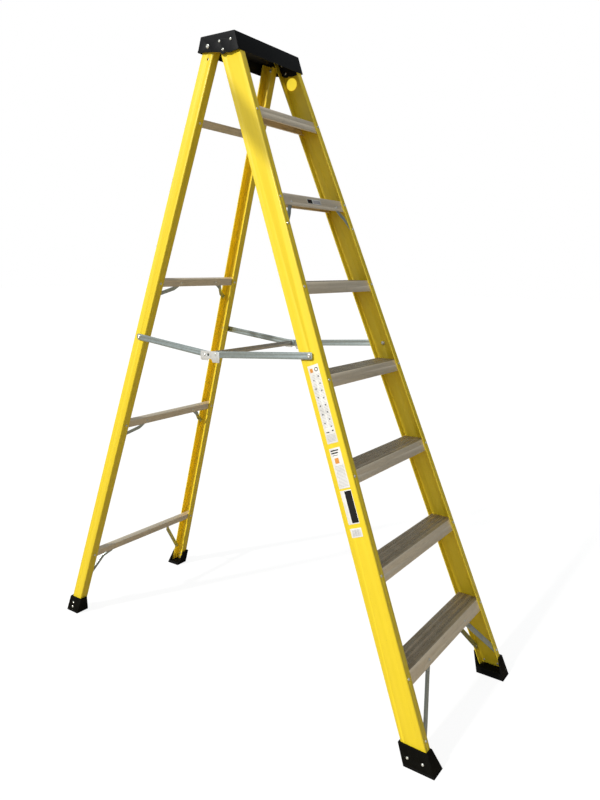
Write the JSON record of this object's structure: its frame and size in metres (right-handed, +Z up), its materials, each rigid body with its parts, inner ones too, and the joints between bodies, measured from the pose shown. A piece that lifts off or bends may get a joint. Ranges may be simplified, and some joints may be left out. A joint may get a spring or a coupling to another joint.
{
  "type": "step ladder",
  "caption": "Folding A-frame step ladder with yellow channel rails, aluminium treads, a black moulded cap, a braced rear frame and a folding spreader.",
  "frame": {"origin": "middle of the footprint on the floor, with the ladder open", "axes": "+Z up, the climbing side faces -Y, X runs across the ladder with -X on the climber's left"},
  "size_m": [0.6554, 1.674, 2.215],
  "materials": {
    "rail_yellow": "satin glass-fibre rail, fine lengthwise grain",
    "cap_black": "textured moulded plastic",
    "tread_aluminium": "mill finish extrusion with brushed grain",
    "zinc_steel": "zinc plated strip",
    "plate_steel": "bright zinc plated plate",
    "crossbar_steel": "dull plated bar",
    "rivet_steel": "bright domed rivets",
    "label_white": "blank plates with plain blocks",
    "disc_yellow": "plain disc",
    "boot_black": "moulded ribbed plastic",
    "sole_rubber": "matt ribbed rubber"
  },
  "bodies": {
    "front_frame": {"front_stile_left": "rail_yellow", "front_stile_right": "rail_yellow", "top_cap": "cap_black", "tread_1": "tread_aluminium", "tread_2": "tread_aluminium", "tread_3": "tread_aluminium", "tread_4": "tread_aluminium", "tread_5": "tread_aluminium", "tread_6": "tread_aluminium", "tread_7": "tread_aluminium", "tread_2_brace_left": "zinc_steel", "tread_2_brace_right": "zinc_steel", "front_brace_left": "zinc_steel", "front_brace_right": "zinc_steel", "back_brace_left": "zinc_steel", "back_brace_right": "zinc_steel", "front_boot_left": "boot_black", "front_boot_right": "boot_black", "front_sole_left": "sole_rubber", "front_sole_right": "sole_rubber", "tread_rivets": "rivet_steel", "tread_brace_rivets": "rivet_steel", "cap_rivets": "rivet_steel", "front_boot_rivets": "rivet_steel", "cap_pivot_bolts": "rivet_steel", "front_spreader_bolts": "rivet_steel", "label_plates": "label_white", "tread_plate": "label_white", "rail_disc": "disc_yellow"},
    "rear_frame": {"rear_stile_left": "rail_yellow", "rear_stile_right": "rail_yellow", "rear_bar_1": "tread_aluminium", "rear_bar_2": "tread_aluminium", "rear_bar_3": "tread_aluminium", "rear_bar_4": "tread_aluminium", "bar_2_brace_left": "zinc_steel", "bar_2_brace_right": "zinc_steel", "bar_3_brace_left": "zinc_steel", "bar_3_brace_right": "zinc_steel", "bar_4_brace_left": "zinc_steel", "bar_4_brace_right": "zinc_steel", "bar_4_lug_left": "zinc_steel", "bar_4_lug_right": "zinc_steel", "rear_boot_left": "boot_black", "rear_boot_right": "boot_black", "rear_sole_left": "sole_rubber", "rear_sole_right": "sole_rubber", "bar_rivets": "rivet_steel", "bar_brace_rivets": "rivet_steel", "rear_boot_rivets": "rivet_steel", "rear_spreader_bolts": "rivet_steel"},
    "spreader_front": {"front_link_left": "zinc_steel", "front_link_right": "zinc_steel", "hinge_plate_left": "plate_steel", "hinge_plate_right": "plate_steel", "hinge_rivets": "rivet_steel"},
    "spreader_rear": {"rear_link_left": "zinc_steel", "rear_link_right": "zinc_steel", "crossbar": "crossbar_steel"}
  },
  "joints": [
    {"name": "rear_fold", "type": "hinge", "parent": "front_frame", "child": "rear_frame", "pos_m": [0, 0.154, 2.18], "axis": [-1, 0, 0], "range_deg": [0, 36.5]},
    {"name": "front_link_turn", "type": "hinge", "parent": "front_frame", "child": "spreader_front", "pos_m": [0, -0.3235, 1.1785], "axis": [1, 0, 0], "range_deg": [0, 65.74]},
    {"name": "rear_link_turn", "type": "hinge", "parent": "rear_frame", "child": "spreader_rear", "pos_m": [0, 0.4485, 1.182], "axis": [-1, 0, 0], "range_deg": [0, 72.78]}
  ],
  "couplings": [
    {"joint": "front_link_turn", "follows": "rear_fold", "ratio": 1.8009},
    {"joint": "rear_link_turn", "follows": "rear_fold", "ratio": 1.9938}
  ]
}
